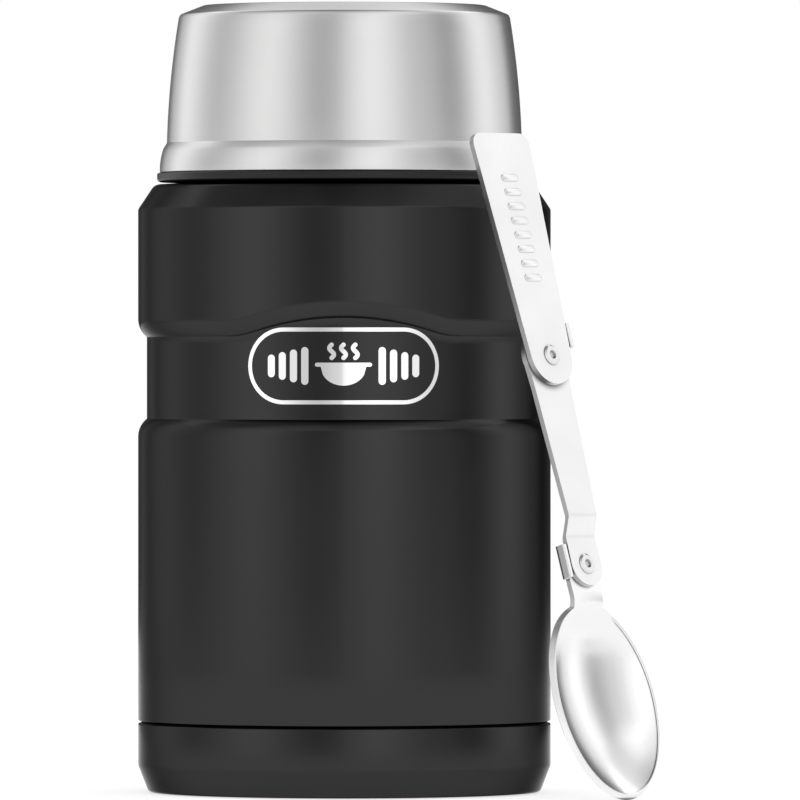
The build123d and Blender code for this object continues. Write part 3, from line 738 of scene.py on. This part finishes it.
def pill(half_length, half_width, steps=6):
    """Outline of a long rounded bar that lies across."""
    outline = arc((half_length - half_width, 0), half_width, -90, 90, steps)
    return outline + arc((half_width - half_length, 0), half_width, 90, 270, steps)


HANDLE_BARS = 8
HANDLE_BAR_FIRST, HANDLE_BAR_STEP = 19.2, 3.56
# Half length, half width and height over the handle's face, from a bar's foot to its top
HANDLE_BAR_RINGS = ((2.95, 0.85, -0.05), (2.95, 0.85, 0.06), (2.82, 0.72, 0.2), (2.7, 0.6, 0.24))


def raised_bars():
    """Row of low rounded bars across the handle."""
    rings = HANDLE_BAR_RINGS
    points, faces = [], []
    for bar in range(HANDLE_BARS):
        start = len(points)
        up = HANDLE_BAR_FIRST + HANDLE_BAR_STEP * bar
        for half_length, half_width, out in rings:
            points += [on_face(x, up + y, out) for x, y in pill(half_length, half_width)]
        count = (len(points) - start) // len(rings)
        for level in range(len(rings) - 1):
            for i in range(count):
                a = start + level * count + i
                b = start + level * count + (i + 1) % count
                faces.append((a, b, b + count, a + count))
        top = start + (len(rings) - 1) * count
        faces.append(tuple(range(top, top + count)))
        faces.append(tuple(range(start + count - 1, start - 1, -1)))
    bars = piece("handle_bars", points, faces, "handle", satin_spoon, sharp=40)
    bars.visible_glossy = False


raised_bars()

# ---------------------------------------------------------------- beaded rim of the spoon's bowl
LINK_LENGTH = 50.4
BOWL_CENTRE = 32.5              # below the lower rivet
BOWL_HALF_WIDTH, BOWL_HALF_LENGTH = 16.9, 23.5
NECK_OUT, RIM_DROP = -5.95, 1.6 # the neck's face from the handle's, and the bowl's rim behind the neck
NECK_END, NECK_BLEND = 5.2, 9.8
RIM_INSET, RIM_RADIUS, RIM_SINK = 0.24, 0.3, 0.1
RIM_END, RIM_TAPER = 150, 12    # degrees from the tip
RIM_STEPS, RIM_SIDES = 150, 10
END_SINK = 0.4


def rim_out(below):
    """Height of the bowl's edge so far below the lower rivet."""
    blend = min(1, max(0, (below - NECK_END) / NECK_BLEND))
    return NECK_OUT - RIM_DROP * blend * blend * (3 - 2 * blend)


def beaded_rim():
    """Thin rounded bead along the bowl's edge, sinking into the sheet at the neck."""
    steps, sides = RIM_STEPS, RIM_SIDES
    points, faces = [], []
    for i in range(steps + 1):
        degrees_round = RIM_END * (2 * i / steps - 1)
        turn = radians(degrees_round)
        across = (BOWL_HALF_WIDTH - RIM_INSET) * sin(turn)
        below = BOWL_CENTRE + (BOWL_HALF_LENGTH - RIM_INSET) * cos(turn)
        outward = Vector((sin(turn) / BOWL_HALF_WIDTH, -cos(turn) / BOWL_HALF_LENGTH)).normalized()
        tapered = max(0, abs(degrees_round) - RIM_END + RIM_TAPER) / RIM_TAPER
        out = rim_out(below) - RIM_SINK - END_SINK * tapered * tapered
        for side in range(sides):
            around = 2 * pi * side / sides
            reach = RIM_RADIUS * cos(around)
            right, up = across + outward.x * reach, -LINK_LENGTH - below + outward.y * reach
            points.append(on_face(right, up, out + RIM_RADIUS * sin(around)))
    for i in range(steps):
        for side in range(sides):
            a, b = i * sides + side, i * sides + (side + 1) % sides
            faces.append((a, b, b + sides, a + sides))
    faces.append(tuple(range(sides)))
    faces.append(tuple(range(steps * sides, (steps + 1) * sides)))
    rim_bead = piece("bowl_rim", points, faces, "bowl", polished_spoon, sharp=60)
    rim_bead.visible_glossy = False


beaded_rim()

# ---------------------------------------------------------------- solids shown as they are
FINISHES = {
    "inner_liner": bare_steel,
    "outer_bottom": bare_steel,
    "vacuum_plug": solder_glass,
    "getter": getter_metal,
    "getter_clip": bare_steel,
    "stopper_body": stopper_plastic,
    "stopper_core": insulation,
    "stopper_base": stopper_plastic,
    "stopper_seal": silicone,
    "lid_bowl": bare_steel,
    "lid_core": insulation,
    "spoon_handle": satin_spoon,
    "spoon_link": satin_spoon,
    "spoon_bowl": polished_spoon,
    "upper_rivet": rivet_steel,
    "lower_rivet": rivet_steel,
    "upper_washer": rivet_steel,
    "lower_washer": rivet_steel,
}
SPOON_SHEETS = ("spoon_handle", "spoon_link", "spoon_bowl")
SPOON_PIVOTS = ("upper_rivet", "lower_rivet", "upper_washer", "lower_washer")
EDGE_FACING = 0.2               # a face that looks less than this to the spoon's front or back is a cut edge

for name, material in FINISHES.items():
    nodes[name].data.materials.clear()
    nodes[name].data.materials.append(material)

# Cut-edge faces get the darker steel: painted shade along the sheets' edges.
for name in SPOON_SHEETS:
    sheet = nodes[name].data
    sheet.materials.append(shaded_cut_edge)
    for face in sheet.polygons:
        if abs(face.normal.dot(FACE_OUT)) < EDGE_FACING:
            face.material_index = 1

for name in SPOON_SHEETS + SPOON_PIVOTS:
    nodes[name].visible_glossy = False


# ---------------------------------------------------------------- floor and background
def light_path_mask(tree):
    """1 for what the camera sees directly, in gloss or through glass, else 0."""
    path = tree.nodes.new("ShaderNodeLightPath")
    seen = maths(tree, "ADD", path.outputs["Is Camera Ray"], path.outputs["Is Glossy Ray"], clamp=True)
    return maths(tree, "ADD", seen, path.outputs["Is Transmission Ray"], clamp=True)


def white_background():
    """World that is pure white where it is seen, and a little dimmer as a light."""
    world = bpy.data.worlds.new("studio")
    bpy.context.scene.world = world
    world.use_nodes = True
    tree = world.node_tree
    sky = tree.nodes["Background"]
    sky.inputs["Color"].default_value = (1, 1, 1, 1)
    tree.links.new(spread(tree, light_path_mask(tree), 0, 1, 0.9, 1.0), sky.inputs["Strength"])


def emptied(name):
    """Material without a Principled BSDF. Returns it, its tree and its output's surface socket."""
    paint = bpy.data.materials.new(name)
    paint.use_nodes = True
    tree = paint.node_tree
    tree.nodes.clear()
    out = tree.nodes.new("ShaderNodeOutputMaterial")
    return paint, tree, out.inputs["Surface"]


def floor_paint():
    """Matte floor that takes shadows, with a glow that brings it to the background's white."""
    paint, tree, surface = emptied("pale floor")
    both = tree.nodes.new("ShaderNodeAddShader")
    matte = tree.nodes.new("ShaderNodeBsdfDiffuse")
    matte.inputs["Color"].default_value = (0.6, 0.6, 0.6, 1)
    glow = tree.nodes.new("ShaderNodeEmission")
    tree.links.new(spread(tree, light_path_mask(tree), 0, 1, 0.0, FLOOR_GLOW), glow.inputs["Strength"])
    tree.links.new(matte.outputs[0], both.inputs[0])
    tree.links.new(glow.outputs[0], both.inputs[1])
    tree.links.new(both.outputs[0], surface)
    return paint


def circle(radius, height, count):
    """Points on a level circle, from the front towards the right."""
    turns = [2 * pi * i / count for i in range(count)]
    return [(radius * sin(turn), -radius * cos(turn), height) for turn in turns]


def staged(name, points, faces, paint):
    """Object round the part that doesn't belong to it. Its points are in metres."""
    mesh = bpy.data.meshes.new(name)
    mesh.from_pydata(points, [], faces)
    made = bpy.data.objects.new(name, mesh)
    bpy.context.scene.collection.objects.link(made)
    mesh.materials.append(paint)
    return made


SIDES = 96                      # of the floor, and of the tent round the object
FLOOR_R, FLOOR_DROP, FLOOR_GLOW = 0.7, 0.0002, 0.66
white_background()
floor = staged("floor", circle(FLOOR_R, 0, SIDES), [tuple(range(SIDES))], floor_paint())
floor.location.z = -FLOOR_DROP


# ---------------------------------------------------------------- light tent, which the camera doesn't see
TENT_R, TENT_TOP = 1.5, 1.2
# Brightness of the tent's wall by azimuth in degrees, from the front towards the right: four soft strips
WALL_LIGHT = (
    (-180, 0.05),
    (-162, 0.12),
    (-145, 0.7),
    (-127, 1.3),
    (-92, 0.7),
    (-51, 1.3),
    (-14, 0.55),
    (-2, 0.7),
    (1, 1.05),
    (17, 1.38),
    (53, 0.75),
    (75, 0.45),
    (105, 1.35),
    (128, 0.9),
    (146, 0.14),
    (180, 0.05),
)
# Brightness of the tent's top: the sum of one run from front to back and one from left to right
TOP_FRONT_TO_BACK = (
    (0.0, 0.85),
    (0.28, 0.6),
    (0.36, 0.3),
    (0.42, 0.15),
    (0.6, 0.2),
    (0.76, 1.15),
    (1.0, 1.15),
)
TOP_LEFT_TO_RIGHT = (
    (0.0, 0.5),
    (0.25, 0.3),
    (0.4, 0.12),
    (0.47, 0.0),
    (0.6, 0.25),
    (0.75, 0.7),
    (1.0, 0.6),
)


def round_the_tent(tree):
    """0 to 1 round the axis, from the back over the left, with the front at a half."""
    turn = tree.nodes.new("ShaderNodeVectorRotate")
    turn.rotation_type = "Z_AXIS"
    turn.inputs["Angle"].default_value = radians(90)
    tree.links.new(tree.nodes.new("ShaderNodeTexCoord").outputs["Object"], turn.inputs["Vector"])
    fan = tree.nodes.new("ShaderNodeTexGradient")
    fan.gradient_type = "RADIAL"
    tree.links.new(turn.outputs[0], fan.inputs[0])
    return fan.outputs["Fac"]


def across_the_tent(tree, direction):
    """0 to 1 from left to right (direction 0) or from front to back (direction 1)."""
    parts = tree.nodes.new("ShaderNodeSeparateXYZ")
    tree.links.new(tree.nodes.new("ShaderNodeTexCoord").outputs["Object"], parts.inputs[0])
    return spread(tree, parts.outputs[direction], -TENT_R, TENT_R, 0.0, 1.0)


def brightness(tree, place, stops):
    """Brightness that follows (place, value) stops."""
    ramp = tree.nodes.new("ShaderNodeValToRGB")
    ramp.color_ramp.interpolation = "EASE"
    while len(ramp.color_ramp.elements) < len(stops):
        ramp.color_ramp.elements.new(0.5)
    for element, (at, value) in zip(ramp.color_ramp.elements, stops):
        element.position = at
        element.color = (value, value, value, 1)
    tree.links.new(place, ramp.inputs[0])
    return ramp.outputs[0]


def wall_strength(tree):
    """Soft upright strips of light round the object."""
    stops = [((azimuth + 180) / 360, value) for azimuth, value in WALL_LIGHT]
    return brightness(tree, round_the_tent(tree), stops)


def top_strength(tree):
    """Dark over the object, brighter towards the rim and on the right."""
    lengthwise = brightness(tree, across_the_tent(tree, 1), TOP_FRONT_TO_BACK)
    sideways = brightness(tree, across_the_tent(tree, 0), TOP_LEFT_TO_RIGHT)
    return maths(tree, "ADD", lengthwise, sideways)


def glowing(name, find_strength):
    """Emission whose strength is what find_strength makes in the material's tree."""
    paint, tree, surface = emptied(name)
    glow = tree.nodes.new("ShaderNodeEmission")
    tree.links.new(find_strength(tree), glow.inputs["Strength"])
    tree.links.new(glow.outputs[0], surface)
    return paint


def light_tent():
    """Round wall and flat top that light the object."""
    low, high = circle(TENT_R, 0.0, SIDES), circle(TENT_R, TENT_TOP, SIDES)
    wall_faces = []
    for i in range(SIDES):
        j = (i + 1) % SIDES
        wall_faces.append((i, j, SIDES + j, SIDES + i))
    wall = staged("tent_wall", low + high, wall_faces, glowing("tent wall light", wall_strength))
    top = staged("tent_top", high, [tuple(range(SIDES))], glowing("tent top light", top_strength))
    for part in (wall, top):
        part.visible_camera = False


light_tent()


# ---------------------------------------------------------------- camera
CAMERA_PLACE = (0.01334, -2.88, 0.1062)
CAMERA_LENS, CAMERA_SENSOR = 540, 36
CAMERA_DOWN = 0.2435            # degrees below level


def aimed_camera():
    """Long lens from the front, almost level."""
    data = bpy.data.cameras.new("camera")
    data.sensor_width = CAMERA_SENSOR
    data.lens = CAMERA_LENS
    camera = bpy.data.objects.new("camera", data)
    bpy.context.scene.collection.objects.link(camera)
    camera.location = CAMERA_PLACE
    camera.rotation_euler = (radians(90 - CAMERA_DOWN), 0, 0)
    bpy.context.scene.camera = camera
    bpy.context.scene.view_settings.view_transform = "Standard"


aimed_camera()
